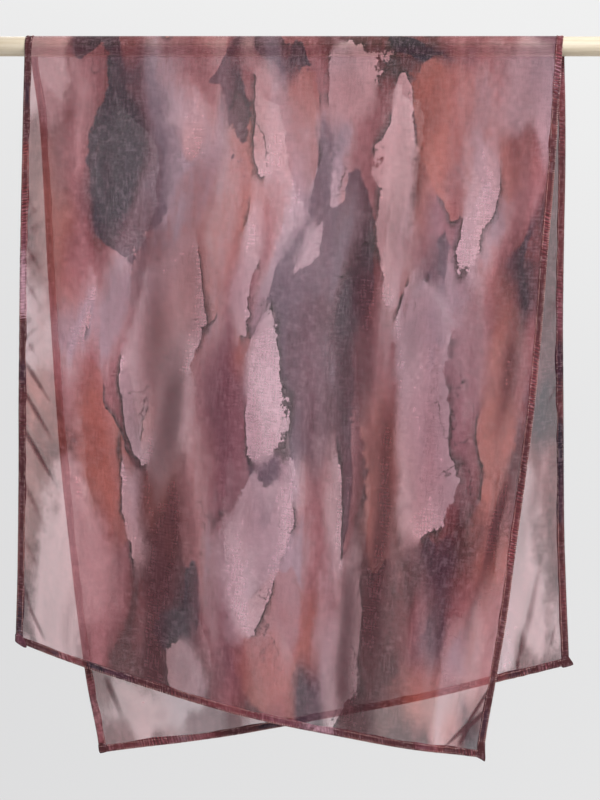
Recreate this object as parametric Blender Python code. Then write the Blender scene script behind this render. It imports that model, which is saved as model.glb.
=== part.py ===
"""A long sheer scarf (hijab) folded over a round wooden rod.

The cloth is one rectangle. Here it is cut at the rod into three stretches: the front drop, the turn
over the rod and the back drop. Each stretch is a thin wall on a surface that is worked out from the
tables below, and each hem is a strip made from the same surface, moved in towards the rod.

Axes: X runs along the rod, Y points away from the viewer, Z is up. The origin is the middle of the
rod's axis. Tables are in millimetres; everything else is in metres.
"""

import math
from collections import namedtuple

import bmesh
import bpy
import numpy as np
from mathutils import Matrix, Vector

MM = 0.001

# Rod
ROD_DIAMETER = 0.026
ROD_LENGTH = 0.860
ROD_SIDES = 48
ROD_CHAMFER = 0.0012

# Cloth
CLOTH_WALL = 0.0010
HEM_WALL = 0.0010
HEM_WIDTH = 0.009
SEAM_GAP = 0.0003

# The middle of the cloth's wall lies this far from the rod's axis: the hem is between cloth and rod.
HANG_RADIUS = ROD_DIAMETER / 2 + SEAM_GAP + HEM_WALL + SEAM_GAP + CLOTH_WALL / 2

# Where a hem's wall starts and ends, measured inwards from the middle of the cloth's wall.
HEM_NEAR = CLOTH_WALL / 2 + SEAM_GAP
HEM_FAR = HEM_NEAR + HEM_WALL

# Mesh steps
COLUMNS = 30
ROWS = 34
TURN_STEPS = 12
NORMAL_STEP = 0.002
SHARP_ANGLE = math.radians(40)

# Below the rod the folds start this far down, and are at their full depth after FOLD_RISE more.
FOLD_START = 0.020
FOLD_RISE = 0.150

# A fold keeps its depth over most of its length: under 1 is a blunter fade at its ends.
FOLD_FADE = 0.8

Edge = namedtuple("Edge", "down left_x right_x")
Fold = namedtuple("Fold", "from_x from_z to_x to_z width depth")
Drop = namedtuple("Drop", "side left_fall right_fall foot_sag swell left_tab right_tab edges folds")

# The front drop leans left. down is the fraction of the way from the rod to the foot.
FRONT_EDGES = [
    Edge(down=0.0, left_x=-365.0, right_x=348.0),
    Edge(down=0.1, left_x=-367.0, right_x=342.0),
    Edge(down=0.2, left_x=-368.5, right_x=335.5),
    Edge(down=0.3, left_x=-370.0, right_x=327.5),
    Edge(down=0.4, left_x=-371.0, right_x=320.0),
    Edge(down=0.5, left_x=-371.5, right_x=311.0),
    Edge(down=0.6, left_x=-372.0, right_x=299.5),
    Edge(down=0.7, left_x=-372.5, right_x=286.5),
    Edge(down=0.8, left_x=-373.5, right_x=274.0),
    Edge(down=0.9, left_x=-375.5, right_x=258.5),
    Edge(down=1.0, left_x=-378.0, right_x=243.5),
]

# The back drop leans right, almost a mirror of the front.
BACK_EDGES = [
    Edge(down=0.0, left_x=-361.5, right_x=354.0),
    Edge(down=0.1, left_x=-349.5, right_x=355.5),
    Edge(down=0.2, left_x=-343.5, right_x=355.5),
    Edge(down=0.3, left_x=-339.0, right_x=354.0),
    Edge(down=0.4, left_x=-333.5, right_x=353.0),
    Edge(down=0.5, left_x=-327.5, right_x=353.0),
    Edge(down=0.6, left_x=-320.0, right_x=353.5),
    Edge(down=0.7, left_x=-309.5, right_x=354.0),
    Edge(down=0.8, left_x=-298.5, right_x=355.0),
    Edge(down=0.9, left_x=-285.0, right_x=357.5),
    Edge(down=1.0, left_x=-267.5, right_x=360.5),
]

# A fold runs along a line from one point to another and fades out at both. Width is the half width of
# its rounded profile. A positive depth is a ridge away from the rod's plane, a negative one a trough.
FRONT_FOLDS = [
    Fold(from_x=-310, from_z=-60, to_x=-330, to_z=-1500, width=60, depth=6.5),
    Fold(from_x=-190, from_z=-100, to_x=-225, to_z=-1500, width=45, depth=-3.5),
    Fold(from_x=-60, from_z=-80, to_x=-90, to_z=-1500, width=75, depth=7.5),
    Fold(from_x=70, from_z=-120, to_x=40, to_z=-1500, width=45, depth=-3.0),
    Fold(from_x=180, from_z=-60, to_x=130, to_z=-1500, width=55, depth=6.0),
    Fold(from_x=318, from_z=-40, to_x=306, to_z=-420, width=20, depth=4.5),
    Fold(from_x=322, from_z=-330, to_x=250, to_z=-690, width=21, depth=6.0),
    Fold(from_x=318, from_z=-470, to_x=205, to_z=-960, width=20, depth=-6.5),
    Fold(from_x=285, from_z=-830, to_x=165, to_z=-985, width=18, depth=-4.5),
]

BACK_FOLDS = [
    Fold(from_x=-240, from_z=-90, to_x=-215, to_z=-1500, width=55, depth=6.5),
    Fold(from_x=-120, from_z=-120, to_x=-85, to_z=-1500, width=45, depth=-3.0),
    Fold(from_x=10, from_z=-80, to_x=50, to_z=-1500, width=70, depth=7.0),
    Fold(from_x=150, from_z=-100, to_x=185, to_z=-1500, width=45, depth=-3.5),
    Fold(from_x=240, from_z=-70, to_x=270, to_z=-1500, width=40, depth=5.0),
    Fold(from_x=370, from_z=-340, to_x=290, to_z=-480, width=20, depth=4.0),
    Fold(from_x=350, from_z=-560, to_x=285, to_z=-760, width=20, depth=4.5),
    Fold(from_x=332, from_z=-680, to_x=322, to_z=-960, width=18, depth=-5.5),
]

# left_fall and right_fall are how far the corners hang below the rod's axis. The foot bows down by
# foot_sag in its middle, and swell is how far the drop stands out at its foot, before its folds.
FRONT = Drop(side=-1, left_fall=0.796, right_fall=0.946, foot_sag=0.023, swell=0.006,
             left_tab=0.0025, right_tab=0.0015, edges=FRONT_EDGES, folds=FRONT_FOLDS)
BACK = Drop(side=1, left_fall=0.944, right_fall=0.825, foot_sag=0.012, swell=0.006,
            left_tab=0.0, right_tab=0.0050, edges=BACK_EDGES, folds=BACK_FOLDS)

# Colours are linear; the cloth's are its print seen from a step away.
Finish = namedtuple("Finish", "colour roughness")
CLOTH = Finish(colour=(0.32, 0.18, 0.19), roughness=0.85)
CLOTH_BACK = Finish(colour=(0.36, 0.22, 0.24), roughness=0.85)
HEM = Finish(colour=(0.16, 0.055, 0.065), roughness=0.80)
WOOD = Finish(colour=(0.72, 0.62, 0.46), roughness=0.55)


def clear_scene():
    for old in list(bpy.data.objects):
        bpy.data.objects.remove(old, do_unlink=True)


def smoothstep(value):
    value = min(max(value, 0.0), 1.0)
    return value * value * (3.0 - 2.0 * value)


def read_edge(edges, column, down):
    """Read a column of an edge table on a smooth curve through its rows, in metres."""
    last = len(edges) - 1
    place = min(max(down, 0.0), 1.0) * last
    row = min(int(place), last - 1)
    share = place - row
    before, start, end, after = (
        getattr(edges[min(max(row + step, 0), last)], column) for step in (-1, 0, 1, 2))
    slope_start = (end - before) / 2
    slope_end = (after - start) / 2
    square = share * share
    cube = square * share
    value = ((2 * cube - 3 * square + 1) * start + (cube - 2 * square + share) * slope_start
             + (3 * square - 2 * cube) * end + (cube - square) * slope_end)
    return value * MM


def fold_depth(fold, x, z):
    """How far one fold lifts the cloth at a place, in metres."""
    along_x = (fold.to_x - fold.from_x) * MM
    along_z = (fold.to_z - fold.from_z) * MM
    length = math.hypot(along_x, along_z)
    from_x = x - fold.from_x * MM
    from_z = z - fold.from_z * MM
    share = (from_x * along_x + from_z * along_z) / length ** 2
    if not 0.0 < share < 1.0:
        return 0.0
    off_line = (from_x * along_z - from_z * along_x) / length
    profile = math.exp(-(off_line / (fold.width * MM)) ** 2)
    return fold.depth * MM * profile * math.sin(math.pi * share) ** FOLD_FADE


def drop_point(drop, across, down):
    """The middle of a drop's wall. across runs 0 to 1 from left to right, down 0 to 1 to the foot."""
    left_x = read_edge(drop.edges, "left_x", down)
    right_x = read_edge(drop.edges, "right_x", down)
    x = left_x + (right_x - left_x) * across
    z = -down * (drop.left_fall + (drop.right_fall - drop.left_fall) * across)
    z -= drop.foot_sag * 4 * across * (1 - across) * down ** 2
    relief = drop.swell * smoothstep(-z / drop.left_fall) + sum(fold_depth(f, x, z) for f in drop.folds)
    rise = smoothstep((-z - FOLD_START) / FOLD_RISE)
    return Vector((x, drop.side * (HANG_RADIUS + relief * rise), z))


def turn_edge(column, around):
    """Where a side edge crosses the rod, from the front drop's top to the back drop's."""
    front = read_edge(FRONT_EDGES, column, 0)
    back = read_edge(BACK_EDGES, column, 0)
    return front + (back - front) * around


def turn_point(across, around):
    """The middle of the turn's wall. around runs 0 to 1 from the front, over the rod, to the back."""
    left_x = turn_edge("left_x", around)
    right_x = turn_edge("right_x", around)
    angle = math.pi * around
    x = left_x + (right_x - left_x) * across
    return Vector((x, -HANG_RADIUS * math.cos(angle), HANG_RADIUS * math.sin(angle)))


def outward(surface, across, along, towards):
    """The surface's unit normal, on the side that the direction towards points to."""
    over = surface(across + NORMAL_STEP, along) - surface(across - NORMAL_STEP, along)
    start = max(along - NORMAL_STEP, 0.0)
    end = min(along + NORMAL_STEP, 1.0)
    down = surface(across, end) - surface(across, start)
    normal = over.cross(down).normalized()
    return normal if normal.dot(towards(across, along)) > 0 else -normal


def wall(name, surface, towards, across_lines, along_lines, outer, inner, finish):
    """A closed wall between two distances from a surface, positive ones away from the rod."""
    mesh = bmesh.new()
    layers = []
    for distance in (outer, inner):
        layer = []
        for along in along_lines:
            row = []
            for across in across_lines:
                normal = outward(surface, across, along, towards)
                row.append(mesh.verts.new(surface(across, along) + normal * distance))
            layer.append(row)
        layers.append(layer)
    last_row = len(along_lines) - 1
    last_column = len(across_lines) - 1
    for layer in layers:
        for row in range(last_row):
            for column in range(last_column):
                mesh.faces.new((layer[row][column], layer[row][column + 1],
                                layer[row + 1][column + 1], layer[row + 1][column]))
    rim = [(0, column) for column in range(last_column)]
    rim += [(row, last_column) for row in range(last_row)]
    rim += [(last_row, column) for column in range(last_column, 0, -1)]
    rim += [(row, 0) for row in range(last_row, 0, -1)]
    for here, there in zip(rim, rim[1:] + rim[:1]):
        mesh.faces.new((layers[0][here[0]][here[1]], layers[1][here[0]][here[1]],
                        layers[1][there[0]][there[1]], layers[0][there[0]][there[1]]))
    bmesh.ops.recalc_face_normals(mesh, faces=mesh.faces)
    return add_object(name, mesh, finish)


def add_object(name, mesh, finish):
    data = bpy.data.meshes.new(name)
    mesh.to_mesh(data)
    mesh.free()
    data.shade_smooth()
    data.set_sharp_from_angle(angle=SHARP_ANGLE)
    made = bpy.data.objects.new(name, data)
    bpy.context.collection.objects.link(made)
    data.materials.append(make_material(name, finish))
    return made


def make_material(name, finish):
    material = bpy.data.materials.new(name)
    material.use_nodes = True
    shader = material.node_tree.nodes["Principled BSDF"]
    shader.inputs["Base Color"].default_value = (*finish.colour, 1.0)
    shader.inputs["Roughness"].default_value = finish.roughness
    shader.inputs["Metallic"].default_value = 0.0
    return material


def drop_lines(drop):
    """The shares at which a drop's wall is cut across and down, with a line at each hem's edge."""
    top = (read_edge(drop.edges, "right_x", 0) - read_edge(drop.edges, "left_x", 0))
    hem_across = HEM_WIDTH / top
    hem_down = HEM_WIDTH / max(drop.left_fall, drop.right_fall)
    first_down = SEAM_GAP / 2 / drop.left_fall
    across = [0.0, *np.linspace(hem_across, 1 - hem_across, COLUMNS - 1), 1.0]
    down = [*np.linspace(first_down, 1 - hem_down, ROWS), 1.0]
    return across, down


def make_drop(label, drop, finish):
    """A drop's wall, its two side hems and its foot hem with the corner tabs."""

    def surface(across, down):
        return drop_point(drop, across, down)

    def towards(across, down):
        return Vector((0, drop.side, 0))

    across, down = drop_lines(drop)
    wall(f"{label}_drop", surface, towards, across, down, CLOTH_WALL / 2, -CLOTH_WALL / 2, finish)

    side_end = down[-2] - SEAM_GAP / min(drop.left_fall, drop.right_fall)
    side_down = [*down[:-2], side_end]
    for side, lines in (("left", across[:2]), ("right", across[-2:])):
        wall(f"{label}_{side}_hem", surface, towards, lines, side_down, -HEM_NEAR, -HEM_FAR, HEM)

    foot_width = read_edge(drop.edges, "right_x", 1) - read_edge(drop.edges, "left_x", 1)
    foot_across = list(across)
    if drop.left_tab:
        foot_across.insert(0, -drop.left_tab / foot_width)
    if drop.right_tab:
        foot_across.append(1 + drop.right_tab / foot_width)
    wall(f"{label}_foot_hem", surface, towards, foot_across, down[-2:], -HEM_NEAR, -HEM_FAR, HEM)


def make_turn():
    """The stretch over the rod and its two side hems."""

    def towards(across, around):
        angle = math.pi * around
        return Vector((0, -math.cos(angle), math.sin(angle)))

    across, _ = drop_lines(FRONT)
    end_share = SEAM_GAP / 2 / (math.pi * HANG_RADIUS)
    around = list(np.linspace(end_share, 1 - end_share, TURN_STEPS + 1))
    wall("rod_turn", turn_point, towards, across, around, CLOTH_WALL / 2, -CLOTH_WALL / 2, CLOTH)
    for side, lines in (("left", across[:2]), ("right", across[-2:])):
        wall(f"turn_{side}_hem", turn_point, towards, lines, around, -HEM_NEAR, -HEM_FAR, HEM)


def make_rod():
    mesh = bmesh.new()
    bmesh.ops.create_cone(mesh, cap_ends=True, segments=ROD_SIDES, radius1=ROD_DIAMETER / 2,
                          radius2=ROD_DIAMETER / 2, depth=ROD_LENGTH,
                          matrix=Matrix.Rotation(math.pi / 2, 4, "Y"))
    ends = [edge for edge in mesh.edges
            if all(abs(abs(vert.co.x) - ROD_LENGTH / 2) < ROD_CHAMFER for vert in edge.verts)
            and edge.verts[0].co.x * edge.verts[1].co.x > 0]
    bmesh.ops.bevel(mesh, geom=ends, offset=ROD_CHAMFER, segments=1, affect="EDGES")
    bmesh.ops.recalc_face_normals(mesh, faces=mesh.faces)
    return add_object("rod", mesh, WOOD)


clear_scene()
make_rod()
make_turn()
make_drop("front", FRONT, CLOTH)
make_drop("back", BACK, CLOTH_BACK)
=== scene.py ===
import math

import bpy
import numpy as np
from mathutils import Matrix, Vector, noise


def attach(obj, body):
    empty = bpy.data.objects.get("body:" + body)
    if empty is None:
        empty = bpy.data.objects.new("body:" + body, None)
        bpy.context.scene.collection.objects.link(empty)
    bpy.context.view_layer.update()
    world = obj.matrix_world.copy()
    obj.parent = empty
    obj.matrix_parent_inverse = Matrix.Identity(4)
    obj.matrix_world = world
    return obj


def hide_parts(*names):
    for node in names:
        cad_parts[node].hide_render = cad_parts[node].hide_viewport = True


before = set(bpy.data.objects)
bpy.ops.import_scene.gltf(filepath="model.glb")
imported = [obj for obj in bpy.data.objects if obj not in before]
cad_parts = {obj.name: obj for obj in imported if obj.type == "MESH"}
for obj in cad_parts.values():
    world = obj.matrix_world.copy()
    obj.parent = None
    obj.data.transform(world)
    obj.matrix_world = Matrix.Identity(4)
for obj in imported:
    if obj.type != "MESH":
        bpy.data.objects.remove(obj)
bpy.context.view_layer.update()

print("frame loaded:", len(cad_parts), "nodes")

mm = 0.001

# camera, light and floor

studio = {
    "cameraDistance": 2.6,
    "pictureHeight": 1.0669,  # how much of the rod's plane the picture shows, top to bottom
    "rodBelowTop": 0.0620,  # the rod's axis below the picture's top edge
    "backdropLow": (219, 219, 220),
    "backdropHigh": (240, 240, 240),
    # from 0 low to 1 high: in the middle, then added to the right, above, and both above and below
    "backdropShade": (0.42, 0.8, 1.2, 4.5),
    "roomColour": (1.0, 0.985, 0.97, 1.0),
    "roomLight": 0.34,  # the light that the pale room gives from all sides
    "floorHeight": -1.6,
    "floorRadius": 2.7,
    "floorColour": (226, 226, 226),
    "floorRoughness": 0.9,
}

# each light's place, what it points at, its size, power and colour
lights = {
    "key": ((1.9, -1.8, 1.7), (0, 0, -0.2), (1.4, 1.2), 118, (1.0, 0.985, 0.965)),
    "fill": ((-1.9, -2.0, 0.1), (0, 0, -0.5), (1.8, 2.0), 6, (0.96, 0.98, 1.0)),
    "behind": ((-0.5, 2.4, 1.5), (0, 0, -0.4), (2.2, 1.8), 60, (1.0, 0.99, 0.98)),
}


def dye(red, green, blue):
    # a screen colour, 0 to 255, as linear light
    parts = []
    for value in (red, green, blue):
        value = value / 255
        parts.append(value / 12.92 if value <= 0.04045 else ((value + 0.055) / 1.055) ** 2.4)
    return (*parts, 1.0)


def feed(tree, node, values):
    # a socket is linked, and a constant is set on the node's own socket
    for socket, value in values.items():
        if isinstance(value, bpy.types.NodeSocket):
            tree.links.new(value, node.inputs[socket])
        else:
            node.inputs[socket].default_value = value


def addNode(tree, kind, values=None, **settings):
    node = tree.nodes.new("ShaderNode" + kind)
    for name, value in settings.items():
        setattr(node, name, value)
    feed(tree, node, values or {})
    return node


def addMath(tree, operation, first, second=0.0, third=0.0):
    return addNode(tree, "Math", {0: first, 1: second, 2: third}, operation=operation).outputs[0]


def addProduct(tree, first, *others):
    for other in others:
        first = addMath(tree, "MULTIPLY", first, other)
    return first


def addMix(tree, factor, first, second, blend="MIX"):
    values = {0: factor, 6: first, 7: second}
    return addNode(tree, "Mix", values, data_type="RGBA", blend_type=blend).outputs[2]


def addRange(tree, value, lowIn, highIn, lowOut=0.0, highOut=1.0):
    values = {0: value, 1: lowIn, 2: highIn, 3: lowOut, 4: highOut}
    return addNode(tree, "MapRange", values, interpolation_type="SMOOTHSTEP").outputs[0]


def addNoise(tree, where, scales, detail, roughness=0.5, dimensions="3D"):
    stretched = addNode(tree, "VectorMath", {0: where, 1: scales}, operation="MULTIPLY").outputs[0]
    values = {"Vector": stretched, "Scale": 1.0, "Detail": detail, "Roughness": roughness}
    return addNode(tree, "TexNoise", values, noise_dimensions=dimensions).outputs[0]


def addBump(tree, height, strength):
    return addNode(tree, "Bump", {"Strength": strength, "Distance": 0.3 * mm, "Height": height}).outputs[0]


def newMaterial(name):
    material = bpy.data.materials.new(name)
    material.use_nodes = True
    tree = material.node_tree
    return material, tree, tree.nodes["Principled BSDF"]


def makeCamera():
    centreHeight = studio["rodBelowTop"] - studio["pictureHeight"] / 2
    bpy.ops.object.camera_add(location=(0, -studio["cameraDistance"], centreHeight),
                              rotation=(math.pi / 2, 0, 0))
    camera = bpy.context.object
    camera.name = "camera"
    camera.data.sensor_width = 36
    camera.data.lens = 36 * studio["cameraDistance"] / studio["pictureHeight"]
    bpy.context.scene.camera = camera


def makeBackdrop():
    # pale and plain, a little lighter above, below and to the right
    world = bpy.data.worlds.new("paleRoom")
    world.use_nodes = True
    bpy.context.scene.world = world
    tree = world.node_tree
    tree.nodes.clear()
    where = addNode(tree, "SeparateXYZ", {0: addNode(tree, "TexCoord").outputs["Generated"]}).outputs
    middle, right, above, ends = studio["backdropShade"]
    shade = addMath(tree, "MULTIPLY_ADD", where[0], right, middle)
    shade = addMath(tree, "MULTIPLY_ADD", where[2], above, shade)
    shade = addMath(tree, "MULTIPLY_ADD", addProduct(tree, where[2], where[2]), ends, shade)
    seen = addMix(tree, addRange(tree, shade, 0.0, 1.0), dye(*studio["backdropLow"]),
                  dye(*studio["backdropHigh"]))
    backdrop = addNode(tree, "Background", {0: seen, 1: 1.0})
    glow = addNode(tree, "Background", {0: studio["roomColour"], 1: studio["roomLight"]})
    direct = addNode(tree, "LightPath").outputs["Is Camera Ray"]
    either = addNode(tree, "MixShader", {0: direct, 1: glow.outputs[0], 2: backdrop.outputs[0]})
    addNode(tree, "OutputWorld", {0: either.outputs[0]})


def makeLight(name, place, target, size, power, colour):
    bpy.ops.object.light_add(type="AREA", location=place)
    light = bpy.context.object
    light.name = name
    light.rotation_mode = "QUATERNION"
    light.rotation_quaternion = (Vector(target) - Vector(place)).to_track_quat("-Z", "Y")
    light.data.shape = "RECTANGLE"
    light.data.size, light.data.size_y = size
    light.data.energy = power
    light.data.color = colour


def makeFloor():
    bpy.ops.mesh.primitive_circle_add(vertices=96, radius=studio["floorRadius"], fill_type="NGON",
                                      location=(0, 0, studio["floorHeight"]))
    floor = bpy.context.object
    floor.name = "floor"
    material, tree, shader = newMaterial("paleFloor")
    feed(tree, shader, {"Base Color": dye(*studio["floorColour"]), "Roughness": studio["floorRoughness"]})
    floor.data.materials.append(material)


bpy.context.scene.view_settings.view_transform = "Standard"
bpy.context.scene.cycles.transparent_max_bounces = 32
bpy.context.scene.cycles.diffuse_bounces = 2
bpy.context.scene.cycles.sample_clamp_indirect = 1.5
makeCamera()
makeBackdrop()
for lightName, setting in lights.items():
    makeLight(lightName, *setting)
makeFloor()
print("camera, light and floor made")

# how the cloth hangs

cloth = {
    "width": 0.700,  # the cut, before it was hung
    "length": 1.800,
    "turnLength": 0.043,  # what lies over the rod
    "hangRadius": 0.0137,  # the cloth's middle, from the rod's axis
    "shell": 0.00028,
    "hemWidth": 0.0090,
    "foldStart": 0.012,
    "foldRise": 0.150,
    "swell": 0.006,
    "roll": 0.0007,
    "puckerStart": 0.004,
    "puckerRise": 0.030,
    "nearLeft": (0.060, 22),  # how far in, and how many columns of points
    "nearRight": (0.112, 42),
    "columnsBetween": 80,
    "rows": 318,
    "turnRows": 22,
}

# the side edges in mm, one row for each tenth of the way down: left, right
frontEdges = [(-365.0, 348.0), (-367.0, 342.0), (-368.5, 335.5), (-370.0, 327.5), (-371.0, 320.0),
              (-371.5, 311.0), (-372.0, 299.5), (-372.0, 286.5), (-372.5, 274.0), (-373.5, 258.0),
              (-375.5, 242.5)]
backEdges = [(-361.5, 354.0), (-349.5, 355.5), (-343.5, 355.5), (-339.0, 354.0), (-333.5, 353.0),
             (-327.5, 353.0), (-320.0, 353.5), (-310.0, 354.0), (-299.5, 355.0), (-286.5, 357.8),
             (-269.5, 361.0)]

# folds and creases in mm: from x, from z, to x, to z, half width, depth. A ridge is positive.
frontFolds = [
    (-310, -60, -330, -1500, 60, 6.5), (-190, -100, -225, -1500, 45, -3.5), (-60, -80, -90, -1500, 75, 7.5),
    (70, -120, 40, -1500, 45, -3.0), (180, -60, 130, -1500, 55, 6.0), (320, -20, 300, -340, 14, 4.5),
    (312, -300, 262, -720, 16, 5.5), (302, -490, 203, -830, 13, -5.5), (285, -830, 165, -985, 18, -4.0),
    # drag lines that run down from the left hem
    (-366, -196, -346, -230, 2.6, -0.7), (-367, -262, -340, -304, 2.8, -0.8),
    (-367, -236, -338, -282, 4.0, 0.7), (-368, -306, -340, -352, 2.8, -0.8),
    (-368, -336, -330, -392, 4.4, 0.8), (-369, -380, -342, -424, 2.6, -0.7),
    (-370, -412, -322, -486, 3.0, -1.5), (-370, -430, -330, -500, 4.4, 1.0),
    (-371, -450, -320, -536, 3.0, -1.6), (-371, -478, -326, -560, 4.6, 1.0),
    (-371, -500, -306, -612, 3.2, -1.8), (-372, -566, -336, -640, 3.0, -0.9),
    (-372, -596, -336, -668, 4.6, 0.8), (-373, -640, -344, -696, 2.8, -0.7),
    (-366, -714, -353, -758, 2.6, -1.3), (-357, -746, -335, -794, 2.8, -1.7),
    # the sharp creases across the lower right corner
    (256, -846, 213, -913, 2.7, -2.7), (221, -902, 182, -940, 2.7, -2.3), (247, -882, 212, -915, 2.7, -1.8),
    (223, -905, 208, -934, 3.0, -1.2), (262, -770, 244, -800, 2.8, -0.8), (256, -800, 238, -820, 2.8, -0.8),
    (246, -838, 216, -878, 4.5, 0.8),
    # long soft lines in the double cloth
    (120, -470, 96, -800, 14, -1.3), (-20, -520, -34, -900, 18, 1.6), (205, -250, 214, -560, 16, 1.4),
    (-255, -120, -262, -420, 14, -1.2), (-140, -380, -150, -760, 16, 1.4), (20, -110, 26, -360, 13, -1.0),
    (262, -120, 268, -330, 9, -1.2), (296, -60, 291, -240, 8, 1.3), (-238, -600, -252, -870, 10, -1.3),
    (-300, -640, -318, -800, 9, 1.4), (160, -700, 150, -945, 10, 1.5), (60, -690, 54, -930, 12, -1.4),
    (232, -640, 214, -760, 8, 1.4), (270, -640, 240, -760, 9, -1.8),
]
backFolds = [
    (-240, -90, -215, -1500, 55, 6.5), (-120, -120, -85, -1500, 45, -3.0), (10, -80, 50, -1500, 70, 7.0),
    (150, -100, 185, -1500, 45, -3.5), (240, -70, 270, -1500, 40, 5.0), (366, -330, 300, -520, 16, 3.0),
    (340, -560, 300, -760, 16, 2.8),
    # the trough and the ridge in the strip that shows at the right, and its smaller creases
    (330, -650, 286, -866, 6.5, -2.0), (344, -712, 314, -866, 8, 1.6), (300, -770, 288, -862, 3.0, -1.2),
    (350, -378, 322, -424, 2.8, -0.9), (352, -398, 322, -450, 4.5, 0.9), (352, -436, 324, -492, 3.0, -0.9),
    (352, -520, 322, -575, 5.0, 0.9), (352, -600, 334, -642, 3.0, -0.7), (354, -660, 338, -710, 4.5, 0.8),
    (350, -264, 334, -296, 2.8, -0.6), (352, -205, 334, -232, 4.0, 0.7), (353, -124, 340, -148, 2.8, -0.6),
    (272, -812, 267, -866, 3.0, -1.0), (279, -820, 276, -868, 3.4, 1.1), (296, -826, 292, -864, 3.4, 1.2),
    (303, -826, 300, -862, 2.8, -1.0), (311, -818, 309, -860, 3.4, 1.2), (320, -826, 318, -858, 2.8, -0.9),
    (344, -768, 330, -826, 2.8, -1.3), (338, -800, 334, -848, 3.8, 1.1),
    # drag lines that run in from the left hem and at the foot
    (-262, -842, -236, -908, 5.0, -1.6), (-252, -838, -218, -900, 6.0, 1.2),
    (-318, -560, -270, -640, 6.0, -0.9), (-334, -360, -296, -430, 5.0, -0.9),
    (-338, -300, -300, -352, 5.0, 0.9), (-304, -690, -262, -752, 6.0, 1.0),
    (-348, -120, -330, -180, 5.0, -1.0), (-120, -690, -112, -930, 12, 1.4), (30, -640, 40, -900, 14, -1.4),
    (-40, -420, -30, -760, 16, 1.3), (140, -640, 158, -880, 11, -1.6), (236, -560, 250, -850, 10, 1.6),
    (-180, -240, -172, -560, 15, -1.3), (100, -160, 108, -450, 15, 1.2), (210, -180, 216, -420, 12, -1.2),
]

# puckers beside the hems: edge, from and to as shares of the edge, pitch, height and reach in mm, slant
frontPuckers = [
    ("left", -0.20, 1.20, 19.0, 0.30, 14, 0.7), ("left", 0.16, 0.66, 27.0, 0.75, 26, 0.9),
    ("left", 0.70, 0.96, 15.0, 0.40, 12, 0.4), ("right", -0.20, 1.20, 15.0, 0.30, 11, 0.5),
    ("right", 0.015, 0.115, 11.5, 0.95, 10, 1.1), ("right", 0.20, 0.42, 18.0, 0.45, 13, 0.6),
    ("right", 0.43, 0.68, 15.5, 0.85, 15, 0.9), ("right", 0.74, 0.97, 12.0, 0.60, 12, 0.8),
    ("foot", -0.20, 1.20, 16.0, 0.30, 11, 0.2), ("foot", 0.02, 0.24, 13.0, 0.55, 13, 0.3),
    ("foot", 0.55, 0.82, 21.0, 0.55, 18, -0.3), ("foot", 0.84, 0.99, 10.0, 0.70, 12, 0.4),
]
backPuckers = [
    ("left", -0.20, 1.20, 17.0, 0.30, 12, 0.6), ("left", 0.14, 0.50, 24.0, 0.60, 20, 0.8),
    ("left", 0.62, 0.94, 15.0, 0.55, 14, 0.6), ("right", -0.20, 1.20, 16.0, 0.30, 12, 0.5),
    ("right", 0.30, 0.58, 18.0, 0.60, 14, 0.8), ("right", 0.60, 0.92, 13.0, 0.65, 13, 0.6),
    ("foot", -0.20, 1.20, 15.0, 0.30, 12, 0.2), ("foot", 0.80, 0.99, 15.5, 1.40, 24, 0.25),
    ("foot", 0.30, 0.62, 20.0, 0.50, 16, -0.3), ("foot", 0.02, 0.16, 12.0, 0.55, 13, 0.3),
]

front = {"side": -1, "leftFall": 0.790, "rightFall": 0.9445, "footSag": 0.0235,
         "edges": np.array(frontEdges) * mm, "folds": frontFolds, "puckers": frontPuckers, "seed": 3.0}
back = {"side": 1, "leftFall": 0.9455, "rightFall": 0.8265, "footSag": 0.012,
        "edges": np.array(backEdges) * mm, "folds": backFolds, "puckers": backPuckers, "seed": 11.0}


def smoothStep(value):
    value = np.clip(value, 0.0, 1.0)
    return value * value * (3 - 2 * value)


def edgeAt(edges, side, down):
    # a smooth curve through the rows of an edge table; side 0 is left and 1 right
    column = edges[:, side]
    last = len(column) - 1
    place = np.clip(down, 0.0, 1.0) * last
    row = np.minimum(place.astype(int), last - 1)
    share = place - row
    before, start = column[np.maximum(row - 1, 0)], column[row]
    end, after = column[row + 1], column[np.minimum(row + 2, last)]
    slopeStart, slopeEnd = (end - before) / 2, (after - start) / 2
    square, cube = share ** 2, share ** 3
    value = (2 * cube - 3 * square + 1) * start + (cube - 2 * square + share) * slopeStart
    value += (3 * square - 2 * cube) * end + (cube - square) * slopeEnd
    return value + (down - np.clip(down, 0.0, 1.0)) * (column[-1] - column[-2]) * last


def fallAt(drop, across):
    return drop["leftFall"] + (drop["rightFall"] - drop["leftFall"]) * across


def foldRelief(folds, x, z):
    total = np.zeros_like(x)
    for fromX, fromZ, toX, toZ, halfWidth, depth in folds:
        alongX, alongZ = (toX - fromX) * mm, (toZ - fromZ) * mm
        length = math.hypot(alongX, alongZ)
        aheadX, aheadZ = x - fromX * mm, z - fromZ * mm
        share = (aheadX * alongX + aheadZ * alongZ) / length ** 2
        aside = (aheadX * alongZ - aheadZ * alongX) / length
        fade = np.sin(math.pi * np.clip(share, 0.0, 1.0) ** 0.75) ** 0.8
        total += depth * mm * fade * np.exp(-(aside / (halfWidth * mm)) ** 2)
    return total


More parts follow.
